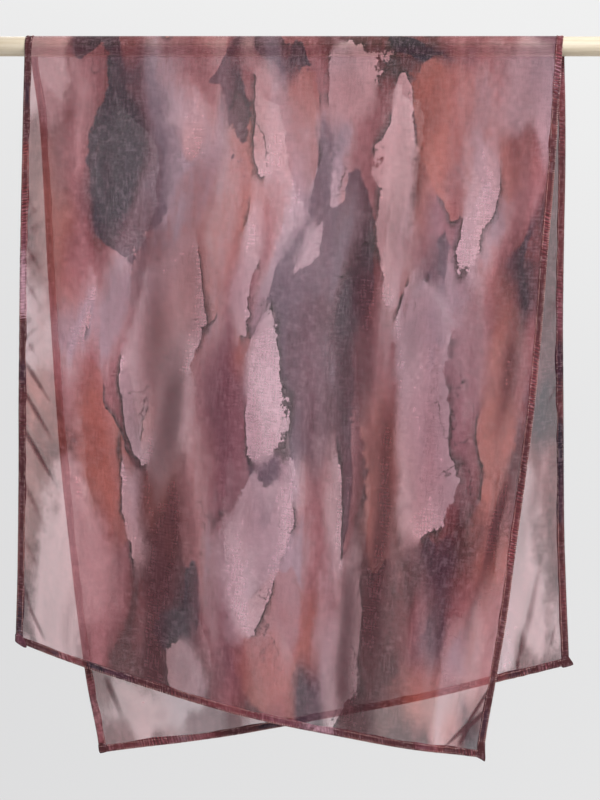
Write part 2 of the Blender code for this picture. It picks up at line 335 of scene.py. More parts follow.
def puckerRelief(drop, across, down):
    # small uneven ripples that the stitching draws into the cloth beside each hem
    width = edgeAt(drop["edges"], 1, down) - edgeAt(drop["edges"], 0, down)
    fall = fallAt(drop, across)
    total = np.zeros_like(across)
    for edge, start, end, pitch, height, reach, slant in drop["puckers"]:
        if edge == "foot":
            inwards, share, run = (1 - down) * fall, across, across * width
        else:
            inwards = across * width if edge == "left" else (1 - across) * width
            share, run = down, down * fall
        inwards = np.maximum(inwards, 0.0)
        span = min(0.12, (end - start) / 2)
        window = smoothStep((share - start) / span) * smoothStep((end - share) / span)
        place = (run + slant * inwards) / (pitch * mm) + drop["seed"]
        wave = np.sin(2 * math.pi * place + 1.5 * np.sin(2.13 * place) + 0.9 * np.sin(0.71 * place + 1.0))
        swing = 0.62 + 0.38 * np.sin(1.37 * place + drop["seed"])
        total += height * mm * window * wave * swing * np.exp(-inwards / (reach * mm))
    return total


def slowRoll(x, z, seed):
    # the uneven rise and fall of the whole drop, between its folds
    roll = np.sin(x * 31 + 1.7 * np.sin(z * 6.1 + seed)) * np.sin(z * 9.3 + 2.1 * np.sin(x * 8.7 + seed))
    finer = np.sin(x * 74 + 2.3 * np.sin(z * 11.0 + seed)) * np.sin(z * 21.0 + 1.9 * np.sin(x * 17.0))
    return roll + 0.6 * finer


def dropPoint(drop, across, down):
    left, right = edgeAt(drop["edges"], 0, down), edgeAt(drop["edges"], 1, down)
    x = left + (right - left) * across
    z = -down * fallAt(drop, across)
    z -= drop["footSag"] * 4 * across * (1 - across) * down ** 2
    relief = cloth["swell"] * smoothStep(-z / drop["leftFall"]) + foldRelief(drop["folds"], x, z)
    relief += cloth["roll"] * slowRoll(x, z, drop["seed"])
    relief *= smoothStep((-z - cloth["foldStart"]) / cloth["foldRise"])
    relief += puckerRelief(drop, across, down) * smoothStep((-z - cloth["puckerStart"]) / cloth["puckerRise"])
    return np.stack([x, drop["side"] * (cloth["hangRadius"] + relief), z], axis=-1)


def turnPoint(across, around):
    left, right = (edgeAt(front["edges"], side, 0 * around) * (1 - around)
                   + edgeAt(back["edges"], side, 0 * around) * around for side in (0, 1))
    angle = math.pi * around
    radius = cloth["hangRadius"]
    x = left + (right - left) * across
    return np.stack([x, -radius * np.cos(angle), radius * np.sin(angle)], axis=-1)


def hungStretch(drop, flatStart, flatEnd):
    return {"point": lambda across, along: dropPoint(drop, across, along), "drop": drop,
            "hemmed": ("left", "right", "foot"),
            "flat": lambda along: flatStart + (flatEnd - flatStart) * along,
            "outside": lambda along: (0 * along + drop["side"], 0 * along)}


# the three stretches of the cloth: along runs from the rod to the foot, and over the rod to its back
dropLength = (cloth["length"] - cloth["turnLength"]) / 2
stretches = {
    "front": hungStretch(front, dropLength, 0.0),
    "turn": {"point": turnPoint, "drop": None, "hemmed": ("left", "right"),
             "flat": lambda along: dropLength + cloth["turnLength"] * along,
             "outside": lambda along: (-np.cos(math.pi * along), np.sin(math.pi * along))},
    "back": hungStretch(back, dropLength + cloth["turnLength"], cloth["length"]),
}


def surfaceAt(stretch, across, along, lift):
    # points of the cloth's surface, moved by lift away from the rod
    step = 0.0012
    low, high = np.maximum(along - step, 0.0), along + step
    if stretch["drop"] is None:
        high = np.minimum(high, 1.0)
    over = stretch["point"](across + step, along) - stretch["point"](across - step, along)
    down = stretch["point"](across, high) - stretch["point"](across, low)
    normal = np.cross(over, down)
    normal /= np.linalg.norm(normal, axis=-1, keepdims=True)
    outY, outZ = stretch["outside"](along)
    towards = normal[..., 1] * outY + normal[..., 2] * outZ
    normal *= np.where(towards < 0, -1.0, 1.0)[..., None]
    return stretch["point"](across, along) + normal * np.asarray(lift)[..., None]


# the print is a plain watercolour wash, worked out on the flat cloth
# brush strokes in mm: across, along from the front foot, half width, half length, lean
plumStrokes = [
    (416, 500, 52, 205, -0.08), (452, 330, 24, 120, 0.06), (372, 660, 22, 110, -0.14),
    (138, 722, 46, 132, 0.07), (164, 600, 18, 100, 0.04), (112, 856, 50, 26, 0),
    (606, 200, 26, 110, 0.05), (236, 140, 22, 95, -0.10), (664, 610, 12, 110, 0), (300, 864, 80, 18, 0),
    (338, 330, 8, 74, -0.1), (560, 640, 8, 60, 0), (430, 46, 30, 24, 0), (530, 866, 50, 16, 0),
    (262, 790, 18, 84, 0.1), (566, 590, 16, 90, 0.05), (702, 6, 16, 18, 0), (60, 30, 12, 14, 0),
    (676, 44, 12, 34, 0.5),
    # on the back stretch
    (180, 1180, 44, 170, 0.08), (214, 1320, 22, 110, 0), (520, 1380, 38, 190, -0.07),
    (620, 1030, 26, 105, 0.05), (330, 1620, 32, 125, 0.09), (80, 1560, 16, 125, 0),
    (400, 1010, 22, 70, 0), (240, 1700, 12, 60, 0), (420, 1240, 9, 80, 0), (702, 1796, 22, 16, 0),
    (690, 1420, 14, 60, 0),
]
rustStrokes = [
    (256, 640, 44, 150, -0.06), (222, 500, 22, 90, 0), (566, 762, 64, 104, 0.08), (522, 620, 20, 90, 0),
    (512, 300, 30, 110, 0), (110, 290, 34, 110, 0.05), (372, 92, 54, 80, -0.05), (656, 430, 20, 135, 0),
    (52, 600, 18, 105, 0), (352, 800, 26, 56, 0), (312, 480, 16, 60, 0.1), (204, 280, 12, 80, 0),
    (14, 330, 30, 150, 0), (620, 52, 84, 60, 0), (664, 170, 30, 90, 0),
    # on the back stretch
    (360, 1230, 46, 130, 0.05), (90, 1320, 36, 115, 0), (600, 1220, 32, 120, -0.06),
    (470, 1650, 50, 110, 0.05), (200, 1480, 28, 130, 0), (240, 990, 62, 54, 0),
    (575, 1540, 22, 90, 0), (40, 1720, 24, 60, 0),
]
paleStrokes = [
    (492, 640, 26, 120, 0.10), (206, 430, 44, 140, -0.12), (326, 210, 38, 104, 0.06),
    (644, 830, 34, 70, 0), (566, 430, 32, 140, 0.08), (60, 130, 46, 120, 0), (424, 826, 30, 66, -0.10),
    (484, 110, 28, 84, 0), (24, 850, 42, 70, 0), (96, 500, 12, 80, -0.10), (200, 800, 20, 64, 0),
    (304, 560, 13, 96, 0.12), (336, 420, 20, 90, -0.10), (250, 40, 22, 40, 0), (300, 780, 18, 80, 0),
    (440, 250, 12, 90, 0.10), (600, 640, 14, 80, 0), (0, 4, 16, 14, 0), (8, 486, 24, 60, 0),
    (150, 250, 16, 70, 0), (530, 520, 10, 60, -0.1),
    # on the back stretch
    (300, 1090, 40, 140, 0.05), (480, 1130, 32, 140, -0.04), (100, 1080, 40, 120, 0),
    (390, 1440, 36, 170, 0.06), (632, 1400, 32, 110, 0), (130, 1690, 64, 90, 0),
    (560, 1740, 60, 66, 0), (640, 1640, 44, 120, 0), (400, 1740, 32, 44, 0), (66, 1772, 60, 34, 0),
    (20, 1440, 24, 90, 0), (250, 1560, 14, 90, 0), (540, 1560, 14, 80, 0.1),
]

dyes = {
    "umberRose": dye(88, 48, 54), "roseBrown": dye(122, 66, 72), "dustyRose": dye(146, 88, 96),
    "dustyPink": dye(170, 114, 122), "blush": dye(188, 146, 154), "lilac": dye(192, 172, 188),
    "mauve": dye(118, 78, 98), "pale": dye(216, 193, 207), "paleBlush": dye(215, 173, 180),
    "rust": dye(176, 96, 82), "terracotta": dye(180, 112, 104), "plum": dye(72, 42, 62),
    "charcoal": dye(48, 40, 58), "slate": dye(86, 74, 98), "fringe": dye(50, 46, 47),
    # the dark colour after veinDark is painted shade, laid into the cloth's troughs
    "veinDark": dye(36, 24, 30), "paintedShade": dye(84, 44, 52), "bareFibre": dye(176, 148, 158),
}


def wander(x, y, scaleX, scaleY, seed):
    # smooth noise over the flat cloth, about -0.6 to 0.6
    return np.array([noise.noise(Vector((a * scaleX, b * scaleY, seed))) for a, b in zip(x, y)])


def wanderSum(x, y, waves, shift=0):
    return sum(strength * wander(x, y, scaleX, scaleY, seed + shift)
               for scaleX, scaleY, seed, strength in waves)


def strokeField(strokes, x, y):
    # how far each place is inside the nearest stroke, in mm, and negative outside them all
    best = np.full_like(x, -90.0)
    for across, along, halfWidth, halfLength, lean in strokes:
        offX, offY = x / mm - across, y / mm - along
        sideways = np.abs(offX * math.cos(lean) + offY * math.sin(lean)) / halfWidth
        lengthways = np.abs(offY * math.cos(lean) - offX * math.sin(lean)) / halfLength
        spread = (sideways ** 2.1 + lengthways ** 2.1) ** (1 / 2.1) + 1e-6
        slope = np.hypot((sideways / spread) ** 1.1 / halfWidth, (lengthways / spread) ** 1.1 / halfLength)
        best = np.maximum(best, (1 - spread) / np.maximum(slope, 0.5 / halfWidth))
    return best


wash = {
    # smooth noise over the flat cloth: scale across, scale along, seed and strength
    "driftAcross": [(6.5, 3.4, 1.0, 0.042), (24, 9, 2.0, 0.016)],
    "driftAlong": [(7.5, 3.5, 3.0, 0.090), (34, 8, 4.0, 0.034)],
    "strokeEdges": [(15, 5.0, 20, 26), (38, 14, 30, 15)],
    "softPlaces": [(12, 7, 5.0, 0.42)],
    "groundPlaces": [(7, 2.6, 6.0, 0.78), (21, 5.5, 7.0, 0.50), (55, 8, 7.5, 0.22), (3.4, 2.2, 13.0, 0.40)],
    "hue": [(8, 3.2, 8.0, 0.75)],
    "inner": [(15, 6, 9.0, 0.75)],
    "turnedSide": [(3.1, 3.4, 12.0, 9)],  # which side of a stroke is the soft one
    "ground": 0.56,  # the ground's tone, from 0 dark to 1 pale
    "denserSides": 0.25,  # how much darker the ground is in places
    "denserFrontLeft": 0.10,
    "denserTop": 0.12,
    # the ground grows darker towards the front's foot
    "darkerLowFront": 0.18,
    "darkerFrontFoot": 0.28,
    "softness": 0.52,  # how softly a stroke's edge runs, from 0 to 1
    "oneSided": 0.36,  # how much one side of a stroke differs from the other
    "softerSides": 0.45,
    "softerBackFoot": 0.25,
    "mauverBackFoot": 0.30,
    # finer noise, made by the material: scales, detail and roughness
    "ragged": ((62, 46, 1), 4.0, 0.68),
    "streaks": ((150, 14, 1), 2.0, 0.5),
    "breaks": ((17, 12, 1), 2.0, 0.55),
    "weft": ((90, 430, 1), 0.0, 0.55),
    "warp": ((430, 80, 1), 0.0, 0.55),
    "stray": (30.0, 11.0),  # how far a stroke's edge strays, in mm
    "blur": (0.7, 20.0),  # how wide a crisp and a wet edge are, in mm
    "rust": (0.86, 0.52),  # how much of each dye covers a dark and a light ground
    "plum": (0.96, 0.74),
    "pale": (0.94, 0.66),  # at a pale stroke's edge and 34 mm inside it
    "paleClouds": (1.0, 0.66),
    "mauve": 0.65,
    "slate": 0.55,
    "fringeReach": (11.0, 9.0),  # outside a pale and a rust stroke, in mm
    "fringeShare": 0.80,
    "lineWidth": (1.1, 0.9),  # round a pale and a rust stroke, in mm
    "lineShare": 0.78,
    "vein": (0.003, 0.009),
    "blurPlaces": (0.36, 0.68),  # the softness that turns a crisp edge into a wet one
    "crispBlur": (1.5, 6.0),  # a wider edge than this has no fringe and no line
    # where lines, fringes, rust and stray edges show, as ranges of the noise called breaks
    "paleLine": (0.36, 0.46),
    "rustLine": (0.46, 0.56),
    "paleFringe": (0.36, 0.50),
    "rustFringe": (0.46, 0.58),
    "rustPatches": (0.34, 0.58, 0.72, 1.0),
    "strayPlaces": (0.35, 0.62),
    # the ground's dyes, from dark to pale
    "ramp": [(0.12, "umberRose"), (0.30, "roseBrown"), (0.45, "dustyRose"), (0.60, "dustyPink"),
             (0.74, "blush"), (0.90, "lilac")],
}


def printFields(flatX, flatY):
    # the fields that the dye group turns into colour: strokes and softness, then three slow tones
    x = flatX + wanderSum(flatX, flatY, wash["driftAcross"])
    y = flatY + wanderSum(flatX, flatY, wash["driftAlong"])
    fields = []
    for number, strokes in enumerate((plumStrokes, rustStrokes, paleStrokes)):
        fields.append(strokeField(strokes, x, y) + wanderSum(flatX, flatY, wash["strokeEdges"], number))
    # a stroke dries crisp along one side and runs softly on the other
    besides = [strokeField(paleStrokes, x + off, y) for off in (0.005, -0.005)]
    side = np.clip((besides[0] - besides[1]) / 10, -1, 1)
    turn = np.clip(wanderSum(flatX, flatY, wash["turnedSide"]) + 0.4, -1, 1)
    soft = wash["softness"] + wanderSum(flatX, flatY, wash["softPlaces"]) + wash["oneSided"] * side * turn
    leftSide = smoothStep(1 - flatX / 0.12)
    sides = leftSide + smoothStep((flatX - 0.58) / 0.12)
    backFoot = smoothStep((flatY - 1.60) / 0.12)
    fields.append(np.clip(soft + wash["softerSides"] * sides + wash["softerBackFoot"] * backFoot, 0, 1))
    base = wash["ground"] + wanderSum(x, y, wash["groundPlaces"])
    # darker towards the front's foot
    base -= wash["darkerLowFront"] * smoothStep(1 - flatY / 0.45)
    base -= wash["darkerFrontFoot"] * smoothStep(1 - flatY / 0.14)
    base -= wash["denserSides"] * sides + wash["denserTop"] * smoothStep(1 - np.abs(flatY - 0.90) / 0.35)
    base -= wash["denserFrontLeft"] * leftSide * smoothStep((0.90 - flatY) / 0.10)
    hue = 0.5 + wanderSum(x, y, wash["hue"])
    hue += wash["mauverBackFoot"] * backFoot * smoothStep(1 - flatX / 0.30)
    inner = 0.5 + wanderSum(x, y, wash["inner"])
    return np.stack(fields, axis=-1), np.stack([base, hue, inner], axis=-1)


def newGroup(name, inputs, outputs):
    group = bpy.data.node_groups.new(name, "ShaderNodeTree")
    for direction, sockets in (("INPUT", inputs), ("OUTPUT", outputs)):
        for label, kind in sockets.items():
            group.interface.new_socket(name=label, in_out=direction, socket_type="NodeSocket" + kind)
    taken = group.nodes.new("NodeGroupInput").outputs
    given = group.nodes.new("NodeGroupOutput").inputs
    return group, taken, given


def evenNoise(tree, flat, name):
    # noise over the flat cloth, about as much below 0 as above
    return addMath(tree, "SUBTRACT", addNoise(tree, flat, *wash[name], "2D"), 0.5)


def makeGrainGroup():
    # plain weave: uneven weft and warp threads, as a tint and as a height
    group, taken, given = newGroup("voileGrain", {"Flat": "Vector", "Strength": "Float"},
                                   {"Tint": "Float", "Height": "Float"})
    warp, weft = (evenNoise(group, taken["Flat"], name) for name in ("warp", "weft"))
    both = addMath(group, "ADD", warp, weft)
    tint = addMath(group, "MULTIPLY_ADD", both, taken["Strength"], 1.0)
    group.links.new(tint, given["Tint"])
    group.links.new(both, given["Height"])
    return group


def makeDyeGroup():
    # wet washes of dye: some edges run softly, and some dried crisp beside a dark fringe
    sockets = {"Flat": "Vector", "Strokes": "Color", "Softness": "Float", "Tones": "Color"}
    group, taken, given = newGroup("dyedWash", sockets, {"Colour": "Color", "Depth": "Float"})
    flat = taken["Flat"]
    ragged = evenNoise(group, flat, "ragged")
    streaks = evenNoise(group, flat, "streaks")
    breaks = addNoise(group, flat, *wash["breaks"], "2D")
    wobble = addProduct(group, ragged, addRange(group, breaks, *wash["strayPlaces"], *wash["stray"]))
    strokes = addNode(group, "SeparateColor", {0: taken["Strokes"]}).outputs
    tones = addNode(group, "SeparateColor", {0: taken["Tones"]}).outputs
    blur = addRange(group, taken["Softness"], *wash["blurPlaces"], *wash["blur"])
    hard = addRange(group, blur, *wash["crispBlur"], 1.0, 0.0)

    def washMask(field, width=1.0):
        edge = addMath(group, "ADD", wobble, field)
        reach = addProduct(group, blur, width)
        return edge, addRange(group, edge, addProduct(group, reach, -1.0), reach)

    def driedLine(edge, width, places):
        off = addMath(group, "ABSOLUTE", edge)
        line = addRange(group, off, width * 0.4, width, 1.0, 0.0)
        return addProduct(group, line, hard, addRange(group, breaks, *places))

    def darkFringe(edge, reach, places):
        # the dye that gathered outside a crisp edge and fades away from it
        near = addRange(group, edge, -reach, 0.5)
        outside = addMath(group, "LESS_THAN", edge, 0.4)
        return addProduct(group, near, outside, hard, addRange(group, breaks, *places))

    tone = addMath(group, "MULTIPLY_ADD", ragged, 0.22, tones[0])
    tone = addMath(group, "MULTIPLY_ADD", streaks, 0.20, tone)
    ramp = addNode(group, "ValToRGB", {0: tone})
    while len(ramp.color_ramp.elements) < len(wash["ramp"]):
        ramp.color_ramp.elements.new(0.5)
    for element, (place, name) in zip(ramp.color_ramp.elements, wash["ramp"]):
        element.position = place
        element.color = dyes[name]
    mauveShare = addRange(group, tones[1], 0.52, 0.85, 0.0, wash["mauve"])
    colour = addMix(group, mauveShare, ramp.outputs[0], dyes["mauve"])

    rustEdge, rustMask = washMask(strokes[1], 1.5)
    rustTone = addMix(group, addRange(group, tones[2], 0.3, 0.7), dyes["rust"], dyes["terracotta"])
    rustShare = addProduct(group, rustMask, addRange(group, tone, 0.2, 0.8, *wash["rust"]),
                           addRange(group, breaks, *wash["rustPatches"]))
    colour = addMix(group, rustShare, colour, rustTone)
    _, plumMask = washMask(strokes[0], 1.2)
    plumTone = addMix(group, addRange(group, tones[2], 0.35, 0.60), dyes["plum"], dyes["charcoal"])
    plumTone = addMix(group, addRange(group, tone, 0.50, 0.85, 0.0, wash["slate"]), plumTone, dyes["slate"])
    plumShare = addProduct(group, plumMask, addRange(group, tone, 0.1, 0.9, *wash["plum"]))
    colour = addMix(group, plumShare, colour, plumTone)
    paleEdge, paleMask = washMask(strokes[2])
    paleReach, rustReach = wash["fringeReach"]
    fringe = addMath(group, "MAXIMUM", darkFringe(paleEdge, paleReach, wash["paleFringe"]),
                     darkFringe(rustEdge, rustReach, wash["rustFringe"]))
    colour = addMix(group, addProduct(group, fringe, wash["fringeShare"]), colour, dyes["fringe"])
    paleTone = addMix(group, addRange(group, tones[1], 0.3, 0.7), dyes["paleBlush"], dyes["pale"])
    paleShare = addProduct(group, paleMask, addRange(group, paleEdge, 1.0, 34.0, *wash["pale"]),
                           addRange(group, tones[2], 0.32, 0.66, *wash["paleClouds"]))
    colour = addMix(group, paleShare, colour, paleTone)

    paleWidth, rustWidth = wash["lineWidth"]
    dried = addMath(group, "MAXIMUM", driedLine(paleEdge, paleWidth, wash["paleLine"]),
                    driedLine(rustEdge, rustWidth, wash["rustLine"]))
    # here and there a thin dark line wanders through the wash
    drift = addMath(group, "MULTIPLY_ADD", ragged, 0.20, addMath(group, "SUBTRACT", breaks, 0.56))
    drift = addMath(group, "ABSOLUTE", drift)
    vein = addProduct(group, addRange(group, drift, *wash["vein"], 1.0, 0.0),
                      addRange(group, tones[2], 0.58, 0.72), hard)
    dried = addMath(group, "MAXIMUM", dried, vein)
    colour = addMix(group, addProduct(group, dried, wash["lineShare"]), colour, dyes["veinDark"])
    split = addNode(group, "SeparateColor", {0: colour}).outputs
    light = addMath(group, "MULTIPLY_ADD", split[1], 0.7, addProduct(group, split[0], 0.3))
    group.links.new(colour, given["Colour"])
    group.links.new(addRange(group, light, 0.0, 0.40, 1.0, 0.0), given["Depth"])
    return group


grainGroup = makeGrainGroup()
dyeGroup = makeDyeGroup()

# each look also sets how strongly painted shade darkens the cloth's troughs
# alpha counts for each face of the thin shell, so a layer of cloth has two: pale dye first, then dark
voileLook = {"alpha": (0.38, 0.60), "tint": (0.98, 0.76, 0.79), "contrast": 1.0, "paintedShade": 0.85,
             "specks": 0.17, "gather": 0.34, "roughness": 0.78, "sheen": 0.20, "shine": 0.25,
             "grain": 0.36, "bump": 0.22}
hemLook = {"alpha": (0.76, 0.90), "tint": (0.90, 0.66, 0.70), "contrast": 1.06, "paintedShade": 0.70,
           "specks": 0.15, "gather": 0.0, "roughness": 0.70, "sheen": 0.12, "shine": 0.25,
           "grain": 0.42, "bump": 0.40}


def makeClothMaterial(name, look):
    material, tree, shader = newMaterial(name)
    flat = addNode(tree, "UVMap", uv_map="flatCloth").outputs[0]
    strokes = addNode(tree, "Attribute", attribute_name="strokes").outputs
    tones = addNode(tree, "Attribute", attribute_name="tones").outputs
    fields = {"Flat": flat, "Strokes": strokes["Color"], "Softness": strokes["Alpha"],
              "Tones": tones["Color"]}
    dyed = addNode(tree, "Group", fields, node_tree=dyeGroup)
    grain = addNode(tree, "Group", {"Flat": flat, "Strength": look["grain"]}, node_tree=grainGroup)
    deeper = addNode(tree, "Gamma", {0: dyed.outputs["Colour"], 1: look["contrast"]}).outputs[0]
    layered = addMix(tree, 1.0, deeper, (*look["tint"], 1.0), "MULTIPLY")
    # undyed fibres show as pale specks where the dye is deep
    specks = addRange(tree, grain.outputs["Height"], 0.02, 0.30, 0.0, look["specks"])
    specks = addProduct(tree, specks, dyed.outputs["Depth"])
    layered = addMix(tree, specks, layered, dyes["bareFibre"])
    # the tones attribute's alpha holds painted light and shade from the cloth's relief: troughs get a painted
    # dark colour, ridges a painted highlight
    paintedLightAndShade = addMath(tree, "SUBTRACT", tones["Alpha"], 0.5)
    paintedTroughShade = addRange(tree, paintedLightAndShade, -0.50, -0.03, look["paintedShade"], 0.0)
    layered = addMix(tree, paintedTroughShade, layered, dyes["paintedShade"])
    ridge = addMath(tree, "ADD", addMath(tree, "MAXIMUM", paintedLightAndShade, 0.0), 1.0)
    # the weave's tint, brightened on ridges by painted light
    shade = addProduct(tree, grain.outputs["Tint"], ridge)
    grained = addNode(tree, "VectorMath", {0: layered, 3: shade}, operation="SCALE").outputs[0]
    # where the painted crease shade darkens a trough, the cloth also hides more of what is behind it
    low, high = look["alpha"]
    dense = addMath(tree, "MULTIPLY_ADD", dyed.outputs["Depth"], high - low, low)
    dense = addMath(tree, "MULTIPLY_ADD", paintedTroughShade, look["gather"], dense)
    bump = addBump(tree, grain.outputs["Height"], look["bump"])
    feed(tree, shader, {"Base Color": grained, "Alpha": dense, "Normal": bump, "Roughness": look["roughness"],
                        "Sheen Weight": look["sheen"], "Specular IOR Level": look["shine"]})
    return material


threadLook = {"dark": dye(92, 46, 54), "pink": dye(206, 142, 136), "strand": dye(232, 196, 190),
              "dyedSize": (22, 22, 22), "strandSize": (210, 210, 210), "roughness": 0.55}


def makeThreadMaterial():
    material, tree, shader = newMaterial("stitchThread")
    where = addNode(tree, "TexCoord").outputs["Object"]
    dyed = addNoise(tree, where, threadLook["dyedSize"], 1.0)
    strand = addNoise(tree, where, threadLook["strandSize"], 2.0)
    colour = addMix(tree, addRange(tree, dyed, 0.40, 0.60), threadLook["dark"], threadLook["pink"])
    colour = addMix(tree, addRange(tree, strand, 0.45, 0.62, 0.0, 0.8), colour, threadLook["strand"])
    feed(tree, shader, {"Base Color": colour, "Roughness": threadLook["roughness"]})
    return material


woodLook = {"grain": dye(214, 198, 172), "pale": dye(232, 220, 200), "pore": dye(186, 164, 134),
            # painted shade for the rod's left end: its colour and where it runs
            "paintedLeftShade": dye(112, 92, 66), "paintedLeftShadePart": (-0.43, -0.35, 0.20, 0.0),
            "grainSize": (3.2, 210, 210), "poreSize": (26, 900, 900), "roughness": (0.42, 0.55), "bump": 0.25}


def makeWoodMaterial():
    material, tree, shader = newMaterial("paleWood")
    where = addNode(tree, "TexCoord").outputs["Object"]
    grain = addNoise(tree, where, woodLook["grainSize"], 4.0, 0.6)
    pores = addNoise(tree, where, woodLook["poreSize"], 2.0)
    colour = addMix(tree, addRange(tree, grain, 0.3, 0.7), woodLook["grain"], woodLook["pale"])
    colour = addMix(tree, addRange(tree, pores, 0.58, 0.75, 0.0, 0.35), colour, woodLook["pore"])
    # painted shade: the left end is darker, standing in for light that falls off there
    along = addNode(tree, "SeparateXYZ", {0: where}).outputs[0]
    colour = addMix(tree, addRange(tree, along, *woodLook["paintedLeftShadePart"]), colour, woodLook["paintedLeftShade"])
    roughness = addRange(tree, grain, 0.2, 0.8, *woodLook["roughness"])
    bump = addBump(tree, grain, woodLook["bump"])
    feed(tree, shader, {"Base Color": colour, "Roughness": roughness, "Normal": bump})
    return material


voile = makeClothMaterial("printedVoile", voileLook)
hemCloth = makeClothMaterial("turnedHem", hemLook)
thread = makeThreadMaterial()
wood = makeWoodMaterial()
print("materials made")


def makeActive(piece):
    bpy.ops.object.select_all(action="DESELECT")
    piece.select_set(True)
    bpy.context.view_layer.objects.active = piece


def standFor(piece, nodes):
    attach(piece, "root")
    if nodes:
        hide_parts(*nodes)


def addMesh(name, points, faces, material):
    mesh = bpy.data.meshes.new(name)
    mesh.from_pydata(np.asarray(points).reshape(-1, 3).tolist(), [], faces)
    mesh.materials.append(material)
    mesh.polygons.foreach_set("use_smooth", [True] * len(mesh.polygons))
    piece = bpy.data.objects.new(name, mesh)
    bpy.context.collection.objects.link(piece)
    return piece


# how much the wash still mottles a hem that has its own dye
mottle = {"strokes": 0.30, "least": -12, "most": 8, "softness": 0.45, "tone": 0.30}


def addClothMesh(name, points, flat, faces, material, paintedShade=None, ownDye=None):
    # a mesh whose points carry the flat cloth's coordinates, the print's fields and painted crease light and
    # shade
    piece = addMesh(name, points, faces, material)
    mesh = piece.data
    flat = flat.reshape(-1, 2)
    loopPoints = np.empty(len(mesh.loops), dtype=np.int32)
    mesh.loops.foreach_get("vertex_index", loopPoints)
    layer = mesh.uv_layers.new(name="flatCloth")
    layer.data.foreach_set("uv", flat[loopPoints].astype(np.float32).ravel())
    strokes, tones = printFields(flat[:, 0], flat[:, 1])
    if ownDye is not None:
        stray = np.clip(strokes[:, :3] * mottle["strokes"], mottle["least"], mottle["most"])
        strokes = np.hstack([ownDye[:, :3] + stray, 0 * strokes[:, 3:] + mottle["softness"]])
        tone = ownDye[:, 3] + mottle["tone"] * (tones[:, 0] - 0.5)
        tones = np.stack([tone, ownDye[:, 4], tones[:, 2]], axis=-1)
    # the fourth tones channel carries painted light and shade, 0.5 where there is none
    shade = np.full((len(flat), 1), 0.5) if paintedShade is None else paintedShade.reshape(-1, 1)
    for label, values in (("strokes", strokes), ("tones", np.hstack([tones, shade]))):
        attribute = mesh.attributes.new(label, "FLOAT_COLOR", "POINT")
        attribute.data.foreach_set("color", values.astype(np.float32).ravel())
    return piece


def gridFaces(rows, columns, turned=False, joined=False):
    # quads between the rows of a grid; joined also closes each row into a ring
    faces = []
    for row in range(rows - 1):
        for column in range(columns if joined else columns - 1):
            beside = (column + 1) % columns
            face = (row * columns + column, row * columns + beside,
                    (row + 1) * columns + beside, (row + 1) * columns + column)
            faces.append(face[::-1] if turned else face)
    return faces


def closedFaces(rings, count):
    # a first point, rings of count points and a last point, with a fan at each end
    beside = [(corner + 1) % count for corner in range(count)]
    last, end = 1 + (rings - 1) * count, 1 + rings * count
    faces = [(0, 1 + beside[corner], 1 + corner) for corner in range(count)]
    faces += [tuple(corner + 1 for corner in face) for face in gridFaces(rings, count, joined=True)]
    return faces + [(last + corner, last + beside[corner], end) for corner in range(count)]


def faceOutwards(piece):
    makeActive(piece)
    bpy.ops.object.mode_set(mode="EDIT")
    bpy.ops.mesh.select_all(action="SELECT")
    bpy.ops.mesh.normals_make_consistent(inside=False)
    bpy.ops.object.mode_set(mode="OBJECT")


def flatAt(stretch, across, along):
    return np.stack([across * cloth["width"], stretch["flat"](along)], axis=-1)


def acrossLines():
    (leftReach, leftCount), (rightReach, rightCount) = cloth["nearLeft"], cloth["nearRight"]
    left = np.linspace(0, leftReach / cloth["width"], leftCount)
    right = np.linspace(1 - rightReach / cloth["width"], 1, rightCount)
    return np.concatenate([left, np.linspace(left[-1], right[0], cloth["columnsBetween"] + 2)[1:-1], right])


def blurred(values, rows, columns):
    for axis, reach in ((0, rows), (1, columns)):
        padding = [(0, 0), (0, 0)]
        padding[axis] = (reach, reach)
        sums = np.cumsum(np.pad(values, padding, mode="edge"), axis=axis)
        ahead, behind = [slice(None)] * 2, [slice(None)] * 2
        ahead[axis], behind[axis] = slice(2 * reach, None), slice(None, -2 * reach)
        values = (sums[tuple(ahead)] - sums[tuple(behind)]) / (2 * reach)
    return values


# painted crease light and shade: blur, depth and the palest painted highlight, then the painted shadow in
# front of the rod: its strength, start, end and fade
shading = {"blur": (6, 4), "depth": 0.0034, "palest": 0.70, "paintedRodShadow": 0.20, "rodStart": 0.004,
           "rodEnd": 0.0156, "rodFade": 0.0028}


def paintedCreaseShade(points):
    # painted shade in the troughs and painted light on the ridges of the cloth's relief, and a painted shadow
    # where the cloth hangs in front of the rod's lower half
    relief = np.abs(points[..., 1])
    fine = relief - blurred(blurred(relief, *shading["blur"]), *shading["blur"])
    # a painted shadow on the front drop, from just below the rod's axis down to the rod's lower edge
    below = -points[..., 2]
    paintedRodShadow = smoothStep(below / shading["rodStart"])
    paintedRodShadow *= smoothStep((shading["rodEnd"] - below) / shading["rodFade"])
    return np.clip(0.5 + fine / shading["depth"], 0.0, shading["palest"]) - shading["paintedRodShadow"] * paintedRodShadow


def makeStretch(label, name, node, rows):
    # one stretch of the cloth as a thin closed shell
    stretch = stretches[label]
    across, along = np.meshgrid(acrossLines(), np.linspace(0, 1, rows))
    points = stretch["point"](across, along)
    # painted crease light and shade, worked out from the drop's relief
    paintedShade = paintedCreaseShade(points) if stretch["drop"] else None
    piece = addClothMesh(name, points, flatAt(stretch, across, along),
                         gridFaces(*across.shape, turned=label == "front"), voile, paintedShade)
    shell = piece.modifiers.new("shell", "SOLIDIFY")
    shell.thickness = cloth["shell"]
    shell.offset = 0
    makeActive(piece)
    bpy.ops.object.modifier_apply(modifier="shell")
    standFor(piece, [node])
    return piece


